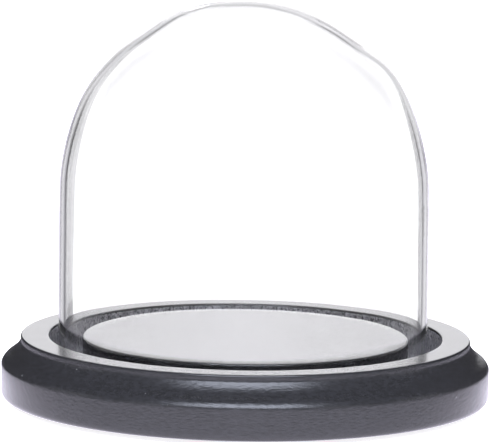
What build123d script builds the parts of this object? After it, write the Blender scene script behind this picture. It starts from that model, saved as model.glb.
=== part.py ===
"""Small glass display dome on a moulded, black lacquered base.

Three pieces: a blown glass dome, one turned board that carries it in a ring-shaped
groove, and a felt disc glued under the board. Everything is round about the Z axis.
Millimetres. The origin is the centre of the felt's underside, and +Z is up.
"""
from build123d import *
from math import cos, radians, sin, tan
import os

os.makedirs("parts", exist_ok=True)

# Glass dome: a straight wall closed by half a sphere, ground flat at the rim
dome_diameter = 76.8
dome_height = 76.2
glass_wall = 1.3
rim_round = 0.35

# Board: thickness, and the groove that the rim stands in
board_thickness = 12.7
groove_depth = 6.35
groove_gap_outside = 2.5
groove_gap_inside = 3.2
groove_corner_round = 0.5

# Flat ring between the groove and the moulded edge
ring_width = 5.9
arris_round = 0.4

# Moulded edge, from the top: upright lip, hollow cove, straight slope, rounded ovolo.
# A tilt is how far the surface leans back from upright.
lip_height = 1.3
moulding_width = 4.0
cove_radius = 6.8
cove_top_tilt = 25.0
slope_tilt = 53.5
ovolo_radius = 2.75
ovolo_foot_tilt = 19.0
foot_round = 1.2

# Felt under the board, cut smaller than the board so that it doesn't show
felt_thickness = 1.0
felt_margin = 8.0

# Radii that follow from the dome outwards and inwards
dome_radius = dome_diameter / 2
groove_outer_radius = dome_radius + groove_gap_outside
stage_radius = dome_radius - glass_wall - groove_gap_inside
lip_radius = groove_outer_radius + ring_width
base_radius = lip_radius + moulding_width
felt_radius = base_radius - felt_margin

# Heights, from the felt up
board_bottom = felt_thickness
board_top = board_bottom + board_thickness
groove_floor = board_top - groove_depth
dome_top = groove_floor + dome_height
spring_line = dome_top - dome_radius


def leaning_back(tilt):
    """Direction of travel up the outside of the base where it leans back by tilt."""
    return (-sin(radians(tilt)), cos(radians(tilt)))


def arc_run(radius, tilt_a, tilt_b):
    """Width and height that an arc takes up between two tilts."""
    width = radius * abs(cos(radians(tilt_a)) - cos(radians(tilt_b)))
    height = radius * abs(sin(radians(tilt_a)) - sin(radians(tilt_b)))
    return width, height


# The straight slope takes the width that the two arcs leave, and the upright band
# below the moulding takes the height that everything else leaves.
cove_width, cove_drop = arc_run(cove_radius, cove_top_tilt, slope_tilt)
ovolo_width, ovolo_drop = arc_run(ovolo_radius, slope_tilt, ovolo_foot_tilt)
slope_width = moulding_width - cove_width - ovolo_width
slope_length = slope_width / sin(radians(slope_tilt))
slope_drop = slope_width / tan(radians(slope_tilt))
band_top = board_top - lip_height - cove_drop - slope_drop - ovolo_drop


# Base: one board, turned all round
with BuildPart() as base:
    with BuildSketch(Plane.XZ) as base_section:
        with BuildLine():
            underside = Line((0, board_bottom), (base_radius - foot_round, board_bottom))
            foot = JernArc(underside @ 1, underside % 1, foot_round, 90)
            band = Line(foot @ 1, (base_radius, band_top))
            ovolo = JernArc(band @ 1, leaning_back(ovolo_foot_tilt), ovolo_radius,
                            slope_tilt - ovolo_foot_tilt)
            slope = PolarLine(ovolo @ 1, slope_length, direction=ovolo % 1)
            cove = JernArc(slope @ 1, slope % 1, cove_radius, cove_top_tilt - slope_tilt)
            Polyline(
                cove @ 1,
                (lip_radius, board_top),
                (groove_outer_radius, board_top),
                (groove_outer_radius, groove_floor),
                (stage_radius, groove_floor),
                (stage_radius, board_top),
                (0, board_top),
                (0, board_bottom),
            )
        make_face()
        top_corners = base_section.vertices().group_by(Axis.Y)[-1].sort_by(Axis.X)[1:]
        fillet(top_corners, arris_round)
        floor_corners = base_section.vertices().filter_by_position(
            Axis.Y, groove_floor - 0.01, groove_floor + 0.01
        )
        fillet(floor_corners, groove_corner_round)
    revolve(axis=Axis.Z)

# Glass dome: even wall, the rim standing flat on the groove's floor
with BuildPart() as glass_dome:
    with BuildSketch(Plane.XZ) as glass_section:
        with BuildLine():
            inner_radius = dome_radius - glass_wall
            outside = Line((dome_radius, groove_floor), (dome_radius, spring_line))
            crown = JernArc(outside @ 1, outside % 1, dome_radius, 90)
            Line(crown @ 1, (0, dome_top - glass_wall))
            inside = Line((inner_radius, groove_floor), (inner_radius, spring_line))
            JernArc(inside @ 1, inside % 1, inner_radius, 90)
            Line(inside @ 0, outside @ 0)
        make_face()
        rim_corners = glass_section.vertices().group_by(Axis.Y)[0]
        fillet(rim_corners, rim_round)
    revolve(axis=Axis.Z)

# Felt: a thin disc glued flat under the board
with BuildPart() as felt_pad:
    with BuildSketch(Plane.XY):
        Circle(felt_radius)
    extrude(amount=felt_thickness)

for name, piece in (("base", base), ("glass_dome", glass_dome), ("felt_pad", felt_pad)):
    piece.part.label = name
    export_step(piece.part, f"parts/{name}.step")
    size = piece.part.bounding_box().size
    print(f"{name}: {size.X:.2f} x {size.Y:.2f} x {size.Z:.2f} mm, "
          f"{piece.part.volume / 1000:.2f} cm3")
print(f"band top {band_top:.2f}, groove floor {groove_floor:.2f}, board top {board_top:.2f}, "
      f"spring line {spring_line:.2f}, dome top {dome_top:.2f}, stage radius {stage_radius:.2f}")
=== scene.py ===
import math

import bmesh
import bpy
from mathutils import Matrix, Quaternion, Vector, noise


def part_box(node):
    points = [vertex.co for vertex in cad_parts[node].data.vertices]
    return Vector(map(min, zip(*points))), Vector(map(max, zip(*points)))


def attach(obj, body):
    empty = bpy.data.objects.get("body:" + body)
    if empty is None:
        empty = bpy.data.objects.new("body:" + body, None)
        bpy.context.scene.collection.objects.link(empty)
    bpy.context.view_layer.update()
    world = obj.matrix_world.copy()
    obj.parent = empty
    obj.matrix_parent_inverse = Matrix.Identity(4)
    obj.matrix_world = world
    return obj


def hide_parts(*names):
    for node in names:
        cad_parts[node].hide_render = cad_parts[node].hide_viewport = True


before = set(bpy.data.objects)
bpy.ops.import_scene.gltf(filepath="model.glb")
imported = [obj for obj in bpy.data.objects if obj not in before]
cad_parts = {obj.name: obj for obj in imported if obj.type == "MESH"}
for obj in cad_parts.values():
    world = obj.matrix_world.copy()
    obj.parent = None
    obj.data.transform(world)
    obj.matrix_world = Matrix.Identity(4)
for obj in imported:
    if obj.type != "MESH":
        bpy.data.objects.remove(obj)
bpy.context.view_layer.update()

# A small glass display dome on a moulded black base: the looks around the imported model.
# Metres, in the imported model's own frame: +Z up, origin under the middle of the felt.

MM = 0.001

base_low, base_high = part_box("base")
dome_low, dome_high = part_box("glass_dome")
felt_low, felt_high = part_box("felt_pad")

# Radii and heights that the frame gives
base_radius = base_high.x
dome_radius = dome_high.x
felt_radius = felt_high.x
board_bottom, board_top = base_low.z, base_high.z
rim_height, dome_top = dome_low.z, dome_high.z
spring_line = dome_top - dome_radius

# Sizes that the part's source holds, which a box can't give
glass_wall = 1.3 * MM
rim_round = 0.35 * MM
groove_gap_outside = 2.5 * MM
groove_gap_inside = 3.2 * MM
groove_corner_round = 0.5 * MM
ring_width = 5.9 * MM
arris_round = 0.4 * MM
cove_radius = 6.8 * MM
cove_top_tilt = 25.0
slope_tilt = 53.5
ovolo_radius = 2.75 * MM
ovolo_foot_tilt = 19.0
foot_round = 1.2 * MM
lip_height = 1.3 * MM

groove_outer_radius = dome_radius + groove_gap_outside
stage_radius = dome_radius - glass_wall - groove_gap_inside
lip_radius = groove_outer_radius + ring_width


# ---------------------------------------------------------------- outlines and meshes

def arc(centre, radius, start, end, steps):
    """Points on an arc between two angles in degrees, both ends included."""
    points = []
    for i in range(steps + 1):
        a = math.radians(start + (end - start) * i / steps)
        points.append((centre[0] + radius * math.cos(a), centre[1] + radius * math.sin(a)))
    return points


def straight(a, b, steps):
    """Points from a to b, without either end."""
    return [(a[0] + (b[0] - a[0]) * i / steps, a[1] + (b[1] - a[1]) * i / steps)
            for i in range(1, steps)]


def turned(name, outline, segments, closed=False):
    """A mesh turned about Z from (radius, height) points. Points on the axis become poles.
    A closed outline joins its last point to its first."""
    mesh = bpy.data.meshes.new(name)
    bm = bmesh.new()
    rings = []
    for radius, height in outline:
        if radius < 1e-7:
            rings.append([bm.verts.new((0, 0, height))])
            continue
        ring = []
        for i in range(segments):
            a = 2 * math.pi * i / segments
            ring.append(bm.verts.new((radius * math.cos(a), radius * math.sin(a), height)))
        rings.append(ring)
    pairs = list(zip(rings, rings[1:]))
    if closed:
        pairs.append((rings[-1], rings[0]))
    for low, high in pairs:
        if len(low) == 1 and len(high) == 1:
            continue
        for i in range(segments):
            j = (i + 1) % segments
            corners = []
            for vert in (low[i % len(low)], low[j % len(low)],
                         high[j % len(high)], high[i % len(high)]):
                if vert not in corners:
                    corners.append(vert)
            bm.faces.new(corners)
    bmesh.ops.recalc_face_normals(bm, faces=bm.faces)
    for face in bm.faces:
        face.smooth = True
    bm.to_mesh(mesh)
    bm.free()
    piece = bpy.data.objects.new(name, mesh)
    bpy.context.scene.collection.objects.link(piece)
    return piece


def base_outline():
    """The board's section from the middle of its underside round to the middle of its top."""
    def run(radius, tilt_a, tilt_b):
        return (radius * abs(math.cos(math.radians(tilt_a)) - math.cos(math.radians(tilt_b))),
                radius * abs(math.sin(math.radians(tilt_a)) - math.sin(math.radians(tilt_b))))

    cove_width, cove_drop = run(cove_radius, cove_top_tilt, slope_tilt)
    ovolo_width, ovolo_drop = run(ovolo_radius, slope_tilt, ovolo_foot_tilt)
    slope_width = base_radius - lip_radius - cove_width - ovolo_width
    slope_drop = slope_width / math.tan(math.radians(slope_tilt))
    band_top = board_top - lip_height - cove_drop - slope_drop - ovolo_drop
    ovolo_centre = (base_radius - ovolo_radius * math.cos(math.radians(ovolo_foot_tilt)),
                    band_top - ovolo_radius * math.sin(math.radians(ovolo_foot_tilt)))
    cove_top = board_top - lip_height
    cove_centre = (lip_radius + cove_radius * math.cos(math.radians(cove_top_tilt)),
                   cove_top + cove_radius * math.sin(math.radians(cove_top_tilt)))
    r, g = arris_round, groove_corner_round
    points = [(0.0, board_bottom)]
    points += straight((0, board_bottom), (base_radius - foot_round, board_bottom), 10)
    points += arc((base_radius - foot_round, board_bottom + foot_round), foot_round, -90, 0, 8)
    points += straight((base_radius, board_bottom + foot_round), (base_radius, band_top), 10)
    points += arc(ovolo_centre, ovolo_radius, ovolo_foot_tilt, slope_tilt, 12)
    cove = arc(cove_centre, cove_radius, 180 + slope_tilt, 180 + cove_top_tilt, 16)
    points += straight(points[-1], cove[0], 4)
    points += cove
    points += straight((lip_radius, cove_top), (lip_radius, board_top - r), 3)
    points += arc((lip_radius - r, board_top - r), r, 0, 90, 6)
    points += straight((lip_radius - r, board_top), (groove_outer_radius + r, board_top), 8)
    points += arc((groove_outer_radius + r, board_top - r), r, 90, 180, 6)
    points += straight((groove_outer_radius, board_top - r), (groove_outer_radius, rim_height + g), 14)
    points += arc((groove_outer_radius - g, rim_height + g), g, 0, -90, 5)
    points += straight((groove_outer_radius - g, rim_height), (stage_radius + g, rim_height), 14)
    points += arc((stage_radius + g, rim_height + g), g, -90, -180, 5)
    points += straight((stage_radius, rim_height + g), (stage_radius, board_top - r), 14)
    points += arc((stage_radius - r, board_top - r), r, 0, 90, 6)
    points += straight((stage_radius - r, board_top), (0, board_top), 12)
    points.append((0.0, board_top))
    return points


def glass_outline():
    """The dome's section: up the outside to the top, then down the inside to the rim."""
    inner, r = dome_radius - glass_wall, rim_round
    points = arc((dome_radius - r, rim_height + r), r, -90, 0, 5)
    points += straight((dome_radius, rim_height + r), (dome_radius, spring_line), 40)
    points += arc((0, spring_line), dome_radius, 0, 90, 72)[:-1]
    points.append((0.0, dome_top))
    points.append((0.0, dome_top - glass_wall))
    points += arc((0, spring_line), inner, 90, 0, 72)[1:]
    points += straight((inner, spring_line), (inner, rim_height + r), 40)
    points += arc((inner + r, rim_height + r), r, 180, 270, 5)
    return points


# ---------------------------------------------------------------- shader graphs

class Graph:
    """Adds shader nodes with short calls. An input given as a socket is linked, else set."""

    def __init__(self, tree):
        self.tree = tree
        tree.nodes.clear()

    def node(self, kind, inputs=None, **settings):
        made = self.tree.nodes.new(kind)
        for key, value in settings.items():
            setattr(made, key, value)
        for key, value in (inputs or {}).items():
            socket = made.inputs[key]
            if isinstance(value, bpy.types.NodeSocket):
                self.tree.links.new(value, socket)
            else:
                socket.default_value = value
        return made

    def math(self, operation, a, b=0.0):
        return self.node("ShaderNodeMath", {0: a, 1: b}, operation=operation).outputs[0]

    def ramp(self, value, low, high, start=0.0, end=1.0, smooth=True):
        kind = "SMOOTHSTEP" if smooth else "LINEAR"
        return self.node("ShaderNodeMapRange",
                         {"Value": value, "From Min": low, "From Max": high,
                          "To Min": start, "To Max": end}, interpolation_type=kind).outputs[0]

    def mix(self, share, a, b):
        return self.node("ShaderNodeMix", {0: share, 2: a, 3: b}, data_type="FLOAT").outputs[0]

    def mix_colour(self, share, a, b):
        return self.node("ShaderNodeMix", {0: share, 6: a, 7: b}, data_type="RGBA").outputs[2]

    def noise(self, place, scale, detail=2.0, roughness=0.5):
        return self.node("ShaderNodeTexNoise", {"Vector": place, "Scale": scale,
                                                "Detail": detail,
                                                "Roughness": roughness}).outputs[0]

    def bump(self, depth, height, under=None):
        """A normal bent by a height pattern of the given depth in metres, on top of another."""
        inputs = {"Strength": 1.0, "Distance": depth, "Height": height}
        if under:
            inputs["Normal"] = under
        return self.node("ShaderNodeBump", inputs).outputs[0]

    def place(self):
        """The surface point in metres, the same whatever pose the piece is in."""
        return self.node("ShaderNodeTexCoord").outputs["Object"]


def new_material(name):
    material = bpy.data.materials.new(name)
    material.use_nodes = True
    return material, Graph(material.node_tree)


def finished(material, g, inputs):
    """The material with its surface made and linked. Glass, lacquer and felt share one IOR."""
    surface = g.node("ShaderNodeBsdfPrincipled", {"IOR": 1.5, **inputs})
    g.node("ShaderNodeOutputMaterial", {"Surface": surface.outputs[0]})
    return material


def grey(value, blue=1.0):
    return (value, value, value * blue, 1.0)


def lacquer(name, mottled, peel, grain, roughness, patchy, specks):
    """Satin black lacquer. mottled is how uneven its shade is, peel how deep the orange peel is
    and grain how deep the fine tooth under it, in metres; patchy is how unevenly it shines, and
    specks is the share of the surface's cells that hold a speck of dust."""
    material, g = new_material(name)
    place = g.place()
    flattened = g.node("ShaderNodeMapping", {"Vector": place, "Scale": (1.0, 1.0, 2.6)}).outputs[0]
    shade, dust, dusty_roughness = 0.0182, grey(0.30, 1.03), 0.8

    mottle = g.noise(flattened, 760, 3, 0.62)
    colour = g.mix_colour(g.ramp(mottle, 0.36, 0.64), grey(shade - mottled, 1.10),
                          grey(shade + mottled, 1.14))
    cells = g.node("ShaderNodeTexVoronoi", {"Vector": place, "Scale": 420.0}).outputs
    chance = g.node("ShaderNodeSeparateColor", {0: cells["Color"]}).outputs[0]
    smallest, largest = 0.015, 0.065
    size = g.math("MULTIPLY", g.ramp(chance, 1 - specks, 1.0, smallest, largest, False),
                  g.math("GREATER_THAN", chance, 1 - specks))
    speck = g.math("LESS_THAN", cells["Distance"], size)
    colour = g.mix_colour(g.math("MULTIPLY", speck, 0.55), colour, dust)

    smear = g.noise(place, 260, 4, 0.6)
    shine = g.ramp(smear, 0.3, 0.7, roughness - patchy, roughness + patchy)
    shine = g.mix(speck, shine, dusty_roughness)
    coarse = g.noise(flattened, 900, 3, 0.6)
    fine = g.noise(place, 4200, 2, 0.6)
    bump = g.bump(peel, coarse)
    bump = g.bump(grain, fine, bump)
    return finished(material, g, {"Base Color": colour, "Roughness": shine, "Normal": bump})


def routed(name):
    """The groove: thin paint over cut board, rough and with dark specks. Its pale grey is painted
    light, standing in for the light that reaches down into the groove through the glass.
    """
    material, g = new_material(name)
    place = g.place()
    fibre = g.noise(place, 1550, 3, 0.72)
    cloud = g.noise(place, 320, 3)
    # Painted light: the pale grey patches give the groove the brightness of light falling into it
    # through the glass, not a colour of the board
    painted_light_patches = g.math("MULTIPLY", g.ramp(fibre, 0.46, 0.60), g.ramp(cloud, 0.25, 0.65))
    colour = g.mix_colour(painted_light_patches, (0.31, 0.305, 0.325, 1), (0.72, 0.71, 0.74, 1))
    colour = g.mix_colour(g.ramp(fibre, 0.45, 0.39), colour, grey(0.06, 1.05))
    shine = g.ramp(fibre, 0.3, 0.7, 0.42, 0.62)
    bump = g.bump(0.06 * MM, fibre)
    return finished(material, g, {"Base Color": colour, "Roughness": shine, "Normal": bump})


def blown_glass():
    """Clear blown glass, with faint cords in it and a little dust and haze on it."""
    material, g = new_material("blown_glass")
    place = g.place()
    stretched = g.node("ShaderNodeMapping", {"Vector": place, "Scale": (1.0, 1.0, 0.22)}).outputs[0]
    cords = g.bump(0.005 * MM, g.noise(stretched, 130, 2, 0.5))
    haze = g.ramp(g.noise(place, 90, 4, 0.6), 0.62, 0.80, 0.0, 0.04)
    return finished(material, g, {"Base Color": grey(0.985), "Roughness": haze,
                                  "Transmission Weight": 1.0, "Normal": cords})


def felt():
    """Pressed black wool felt."""
    material, g = new_material("pressed_felt")
    place = g.place()
    matted = g.noise(place, 900, 6, 0.75)
    clumps = g.noise(place, 160, 3, 0.6)
    colour = g.mix_colour(g.ramp(matted, 0.3, 0.7), grey(0.012), grey(0.05, 1.05))
    colour = g.mix_colour(g.ramp(clumps, 0.5, 0.8, 0, 0.5), colour, grey(0.03))
    return finished(material, g, {
        "Base Color": colour, "Roughness": g.ramp(matted, 0.2, 0.8, 0.85, 1.0),
        "Sheen Weight": 0.25, "Sheen Roughness": 0.4, "Normal": g.bump(0.25 * MM, matted)})


# ---------------------------------------------------------------- the pieces

def make_base():
    board = turned("turned_base", base_outline(), 360)
    top = lacquer("lacquer_top", mottled=0.001, peel=0.0002 * MM, grain=0.0001 * MM,
                  roughness=0.20, patchy=0.006, specks=0.003)
    moulding = lacquer("lacquer_moulding", mottled=0.0026, peel=0.075 * MM, grain=0.022 * MM,
                       roughness=0.24, patchy=0.014, specks=0.40)
    for material in (top, moulding, routed("routed_groove")):
        board.data.materials.append(material)
    on_moulding, in_groove = 1, 2
    slack = 0.001 * MM
    for face in board.data.polygons:
        middle = face.center
        radius = math.hypot(middle.x, middle.y)
        below_top = middle.z < board_top - arris_round
        if below_top and stage_radius - slack < radius < groove_outer_radius + slack:
            face.material_index = in_groove
        elif below_top or radius > lip_radius - slack:
            face.material_index = on_moulding
    return board


# Bulges and flats of the blown glass, as the front view shows them along its outline: the
# angle round from the right, how far the surface stands out in mm, and how wide it is
DENTS = ((12, -0.30, 9), (38, 0.40, 7), (55, -0.42, 6), (66, -0.20, 6), (108, 0.18, 6),
         (124, -0.58, 5), (137, -0.20, 6), (166, -0.38, 10))

# The dome stands a little left in its groove and leans left by a third of a degree
dome_shift = -0.50 * MM
dome_lean = -0.0057


def glass_offset(point, outside):
    """How far the blown surface stands off the true dome at a point, in metres."""
    wave, inner_wave = 0.05, 0.02
    settled_above_board, crown_fade = 12 * MM, 1.5 * MM
    away = (point - Vector((0, 0, spring_line))).normalized()
    offset = wave * noise.noise(point * 38)
    if not outside:
        offset += inner_wave * noise.noise(point * 60 + Vector((3.1, 7.7, 1.9)))
    for angle, height, spread in DENTS:
        toward = Vector((math.cos(math.radians(angle)), 0, math.sin(math.radians(angle))))
        apart = math.degrees(away.angle(toward))
        offset += height * math.exp(-0.5 * (apart / spread) ** 2)
    settle = min(1.0, max(0.0, (point.z - board_top) / settled_above_board))
    crown = min(1.0, max(0.0, (dome_top - point.z) / crown_fade))
    return offset * MM * settle * settle * (3 - 2 * settle) * crown


def make_glass():
    glass = turned("blown_dome", glass_outline(), 256, closed=True)
    bm = bmesh.new()
    bm.from_mesh(glass.data)
    bm.verts.ensure_lookup_table()
    middle_wall = dome_radius - glass_wall / 2
    for vert in bm.verts:
        axis = Vector((0, 0, min(vert.co.z, spring_line)))
        away = vert.co - axis
        outside = away.length > middle_wall
        if vert.co.z > rim_height + rim_round:
            vert.co += away.normalized() * glass_offset(vert.co.copy(), outside)
        vert.co.x += dome_shift + dome_lean * (vert.co.z - rim_height)
    bm.to_mesh(glass.data)
    bm.free()
    glass.data.materials.append(blown_glass())
    return glass


def make_felt():
    """A die-cut disc with a soft, slightly uneven cut edge."""
    thick = felt_high.z - felt_low.z
    r = 0.25 * thick
    points = [(0.0, felt_low.z)]
    points += straight((0, felt_low.z), (felt_radius - r, felt_low.z), 60)
    points += arc((felt_radius - r, felt_low.z + r), r, -90, 0, 4)
    points += straight((felt_radius, felt_low.z + r), (felt_radius, felt_high.z), 3)
    points.append((felt_radius, felt_high.z))
    points += straight((felt_radius, felt_high.z), (0, felt_high.z), 12)
    points.append((0.0, felt_high.z))
    pad = turned("felt_disc", points, 300)
    cut_edge, ragged, frayed, dented = 0.5 * MM, 0.22 * MM, 0.1 * MM, 0.05 * MM
    for vert in pad.data.vertices:
        radius = math.hypot(vert.co.x, vert.co.y)
        if radius > felt_radius - cut_edge:
            pull = ragged * abs(noise.noise(vert.co * 500))
            pull += frayed * abs(noise.noise(vert.co * 2100))
            vert.co.x -= vert.co.x / radius * pull
            vert.co.y -= vert.co.y / radius * pull
        elif vert.co.z < felt_low.z + r:
            vert.co.z += dented * abs(noise.noise(vert.co * 700))
    pad.data.materials.append(felt())
    return pad


base = make_base()
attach(base, "stand")
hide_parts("base")

dome = make_glass()
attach(dome, "dome")
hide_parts("glass_dome")

pad = make_felt()
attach(pad, "stand")
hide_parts("felt_pad")


# ---------------------------------------------------------------- the studio

def strip_behind(g, x, y, widening, outer, inner, start, full):
    """1 in a strip of floor behind the dome and 0 beside it. The strip's half-width grows with y
    by widening. It fades in from outer to inner, and from start to full."""
    past = g.math("SUBTRACT", g.math("ABSOLUTE", x), g.math("MULTIPLY", y, widening))
    return g.math("MULTIPLY", g.ramp(past, outer, inner), g.ramp(y, start, full))


def floor_gleam(g, path):
    """How bright the floor is in what mirrors it: bright by the base, dark far off, and bright
    again in front of the panel. Sharp reflections in the glass see more of it behind the dome."""
    axes = g.node("ShaderNodeSeparateXYZ", {0: g.place()}).outputs
    x, y = axes["X"], axes["Y"]
    near, middle, far = 60 * MM, 108 * MM, 170 * MM
    near_level, middle_level, far_level, panel_level = 2.12, 0.72, 0.12, 1.5
    front_depth, back_depth = 0.3, 3.0
    depth = g.mix(g.ramp(y, -10 * MM, 20 * MM), front_depth, back_depth)
    across = g.math("MULTIPLY", x, x)
    along = g.math("MULTIPLY", g.math("MULTIPLY", y, y), depth)
    reach = g.math("SQRT", g.math("ADD", across, along))
    lit = g.ramp(reach, near, middle, near_level, middle_level, False)
    lit = g.mix(g.ramp(reach, middle, far), lit, far_level)

    by_panel = strip_behind(g, x, y, 0.14, 50 * MM, 36 * MM, 80 * MM, 130 * MM)
    lit = g.mix(by_panel, lit, panel_level)
    for widening, outer, inner, level in ((0.60, 75 * MM, 50 * MM, 0.34),
                                          (0.27, 55 * MM, 40 * MM, 0.85)):
        strip = strip_behind(g, x, y, widening, outer, inner, 40 * MM, 90 * MM)
        lit = g.mix(g.math("MULTIPLY", strip, path["Is Singular Ray"]), lit, level)
    return lit


def make_floor():
    """A white sheet that glows a little. Mirrors see its gleam instead, because the lit part of
    a real sheet is small. Nothing sees it through the glass, where the sweep stands for it."""
    half = 3.0
    mesh = bpy.data.meshes.new("floor")
    mesh.from_pydata([(-half, -half, 0), (half, -half, 0), (half, half, 0), (-half, half, 0)],
                     [], [(0, 1, 2, 3)])
    floor = bpy.data.objects.new("floor", mesh)
    bpy.context.scene.collection.objects.link(floor)
    material, g = new_material("pale_floor")
    path = g.node("ShaderNodeLightPath").outputs
    sheet = g.node("ShaderNodeBsdfPrincipled", {
        "Base Color": grey(0.82), "Roughness": 0.9, "Emission Color": (1.0, 0.99, 1.01, 1),
        "Emission Strength": 0.80}).outputs[0]
    gleam = g.node("ShaderNodeEmission", {
        "Color": (0.98, 0.94, 1.11, 1), "Strength": floor_gleam(g, path)}).outputs[0]
    both = g.node("ShaderNodeMixShader", {0: path["Is Glossy Ray"], 1: sheet, 2: gleam})
    g.node("ShaderNodeOutputMaterial", {"Surface": both.outputs[0]})
    mesh.materials.append(material)
    floor.visible_transmission = False


# The bright panel behind the dome: how far it reaches to each side, in degrees
panel_left, panel_right, panel_blur = 10.2, 13.1, 0.4


def stages(g, value, level, *changes):
    """A brightness that starts at level. Each change is (start, end, new level, eased): the
    brightness goes to the new level while value goes from start to end."""
    for start, end, new_level, eased in changes:
        level = g.mix(g.ramp(value, start, end, 0.0, 1.0, eased), level, new_level)
    return level


def seen_around(g, height, side, beside):
    """What the base, the felt and the camera see: the panel behind, fading upward, and dim
    walls with soft windows every 45 degrees from the sides round to the front."""
    wall_level, window_level = 0.05, 1.1
    panel = stages(g, height, 2.0, (14, 24, 0.45, True), (24, 45, 0.05, True))
    band = g.math("MULTIPLY", g.ramp(height, 4.0, 8.0), g.ramp(height, 24.0, 18.0))
    off_window = g.math("PINGPONG", side, 22.5)
    window = g.math("MULTIPLY", band, g.ramp(off_window, 14.0, 10.0))
    window = g.math("MULTIPLY", window, g.ramp(side, 65.0, 75.0))
    walls = g.math("ADD", wall_level, g.math("MULTIPLY", window, window_level))
    return g.mix(beside, panel, walls)


def mirrored_by_glass(g, height, side, around):
    """What sharp reflections in the glass see: a brighter patch behind the dome."""
    wide_level, middle_level = 0.55, 1.2
    wide = g.math("MULTIPLY", g.ramp(side, 30.0, 22.0), g.ramp(height, 32.0, 22.0))
    middle = g.math("MULTIPLY", g.ramp(side, 17.0, 12.0), g.ramp(height, 13.0, 8.0))
    return g.mix(middle, g.mix(wide, around, wide_level), middle_level)


def low_through_glass(g, side, on_right, beside):
    """Near the horizon: the white sweep, and the grey flags at both sides that draw the edges
    of clear glass. A flag is pale by the panel, bright in its middle and dark far out."""
    sweep_level, far_side_level = 1.32, 1.25
    toward_edge = g.math("MULTIPLY", g.math("MINIMUM", side, 11.0), 0.1)
    sweep = g.math("ADD", sweep_level, g.math("POWER", toward_edge, 4.0))
    flag_left = stages(g, side, 0.72, (panel_left, 13.5, 0.85, False), (13.5, 17.2, 2.0, True),
                       (17.0, 24.0, 1.0, False), (24.0, 28.6, 0.12, False))
    flag_right = stages(g, side, 0.78, (panel_right, 15.0, 0.90, False), (15.0, 18.5, 1.9, True),
                        (19.0, 25.0, 1.3, False), (25.0, 28.6, 0.30, False))
    flag = g.mix(on_right, flag_left, flag_right)
    flag = g.mix(g.ramp(side, 34.0, 48.0), flag, far_side_level)
    return g.mix(beside, sweep, flag)


def seen_through_glass(g, path, height, side, on_right, beside):
    """What shows through the dome. Rays that ran along inside its wall passed two surfaces of
    glass and not four, and see it darker."""
    low = low_through_glass(g, side, on_right, beside)
    high = g.mix(beside, g.ramp(height, 12.0, 19.0, 2.25, 1.2), g.ramp(height, 13.0, 20.0, 1.5, 0.3))
    panel_from, left_from, right_from, blur = 0.0, 7.0, 6.0, 4.0
    high_from = g.mix(beside, panel_from, g.mix(on_right, left_from, right_from))
    climb = g.ramp(g.math("SUBTRACT", height, high_from), -blur, blur)
    ground_level, ceiling_level = 0.6, 1.3
    seen = g.mix(climb, low, high)
    seen = g.mix(g.ramp(height, -45.0, -55.0), seen, ground_level)
    seen = g.mix(g.ramp(height, 36.0, 48.0), seen, ceiling_level)
    in_wall = g.math("LESS_THAN", path["Transmission Depth"], 2.5)
    held_back = g.ramp(height, -6.0, 6.0, 0.70, 0.56)
    return g.math("MULTIPLY", seen, g.mix(in_wall, 1.0, held_back))


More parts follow.
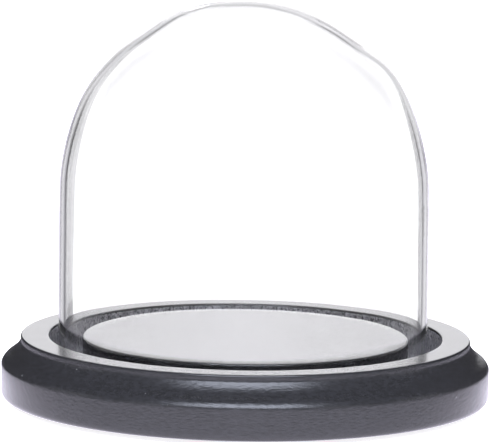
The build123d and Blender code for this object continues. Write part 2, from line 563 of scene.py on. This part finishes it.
def make_world():
    """The studio's walls as a brightness for each direction: height is the angle above the
    horizon, and side is the angle to the left or right of straight behind the dome."""
    world = bpy.data.worlds.new("studio")
    bpy.context.scene.world = world
    world.use_nodes = True
    g = Graph(world.node_tree)
    path = g.node("ShaderNodeLightPath").outputs
    ray = g.node("ShaderNodeTexCoord").outputs["Generated"]
    axes = g.node("ShaderNodeSeparateXYZ", {0: ray}).outputs
    degrees = 180 / math.pi
    height = g.math("MULTIPLY", g.math("ARCSINE", axes["Z"]), degrees)
    turn = g.math("MULTIPLY", g.math("ARCTAN2", axes["X"], axes["Y"]), degrees)
    on_right = g.math("GREATER_THAN", turn, 0.0)
    side = g.math("ABSOLUTE", turn)
    past_panel = g.math("SUBTRACT", side, g.mix(on_right, panel_left, panel_right))
    beside = g.ramp(past_panel, -panel_blur, panel_blur)

    diffuse_level = 1.3
    around = seen_around(g, height, side, beside)
    around = g.mix(path["Is Singular Ray"], around, mirrored_by_glass(g, height, side, around))
    around = g.mix(path["Is Diffuse Ray"], around, diffuse_level)
    through = seen_through_glass(g, path, height, side, on_right, beside)
    light = g.mix(path["Is Transmission Ray"], around, through)
    background = g.node("ShaderNodeBackground", {"Color": (0.99, 0.985, 1.015, 1), "Strength": light})
    g.node("ShaderNodeOutputWorld", {"Surface": background.outputs[0]})


def softbox(name, azimuth, elevation, distance, width, height, radiance, colour):
    """An area light aimed at the dome. Azimuth 0 is the camera's side, elevation is up."""
    light = bpy.data.lights.new(name, "AREA")
    light.shape = "RECTANGLE"
    light.size, light.size_y = width, height
    light.energy = radiance * math.pi * width * height
    light.color = colour
    lamp = bpy.data.objects.new(name, light)
    bpy.context.scene.collection.objects.link(lamp)
    a, e = math.radians(azimuth), math.radians(elevation)
    aim = Vector((0, 0, board_top))
    back = Vector((math.sin(a) * math.cos(e), -math.cos(a) * math.cos(e), math.sin(e)))
    lamp.location = aim + back * distance
    lamp.rotation_euler = (-back).to_track_quat("-Z", "Y").to_euler()
    lamp.visible_camera = False


def make_camera():
    """A long lens, a little above the dome's middle, and rolled by under a degree."""
    camera = bpy.data.objects.new("camera", bpy.data.cameras.new("camera"))
    bpy.context.scene.collection.objects.link(camera)
    bpy.context.scene.camera = camera
    camera.data.sensor_width = 36
    camera.data.lens = 293.9
    camera.data.clip_start, camera.data.clip_end = 0.05, 20
    distance, elevation, roll = 834.4 * MM, math.radians(9.83), math.radians(0.86)
    seat = Vector((0, 0, 13 * MM))
    back = Vector((0, -math.cos(elevation), math.sin(elevation)))
    up = Vector((0, math.sin(elevation), math.cos(elevation)))
    camera.location = seat + back * distance
    aim = seat + up * (24.5 * MM) - Vector((0.47 * MM, 0, 0))
    look = (aim - camera.location).to_track_quat("-Z", "Y")
    camera.rotation_mode = "QUATERNION"
    camera.rotation_quaternion = look @ Quaternion((0, 0, 1), roll)


make_floor()
make_world()
softbox("front_softbox", azimuth=0, elevation=43, distance=0.9, width=0.78, height=0.46,
        radiance=9.2, colour=(0.92, 0.98, 1.15))
make_camera()

view = bpy.context.scene.view_settings
view.view_transform = "Standard"
view.look = "None"
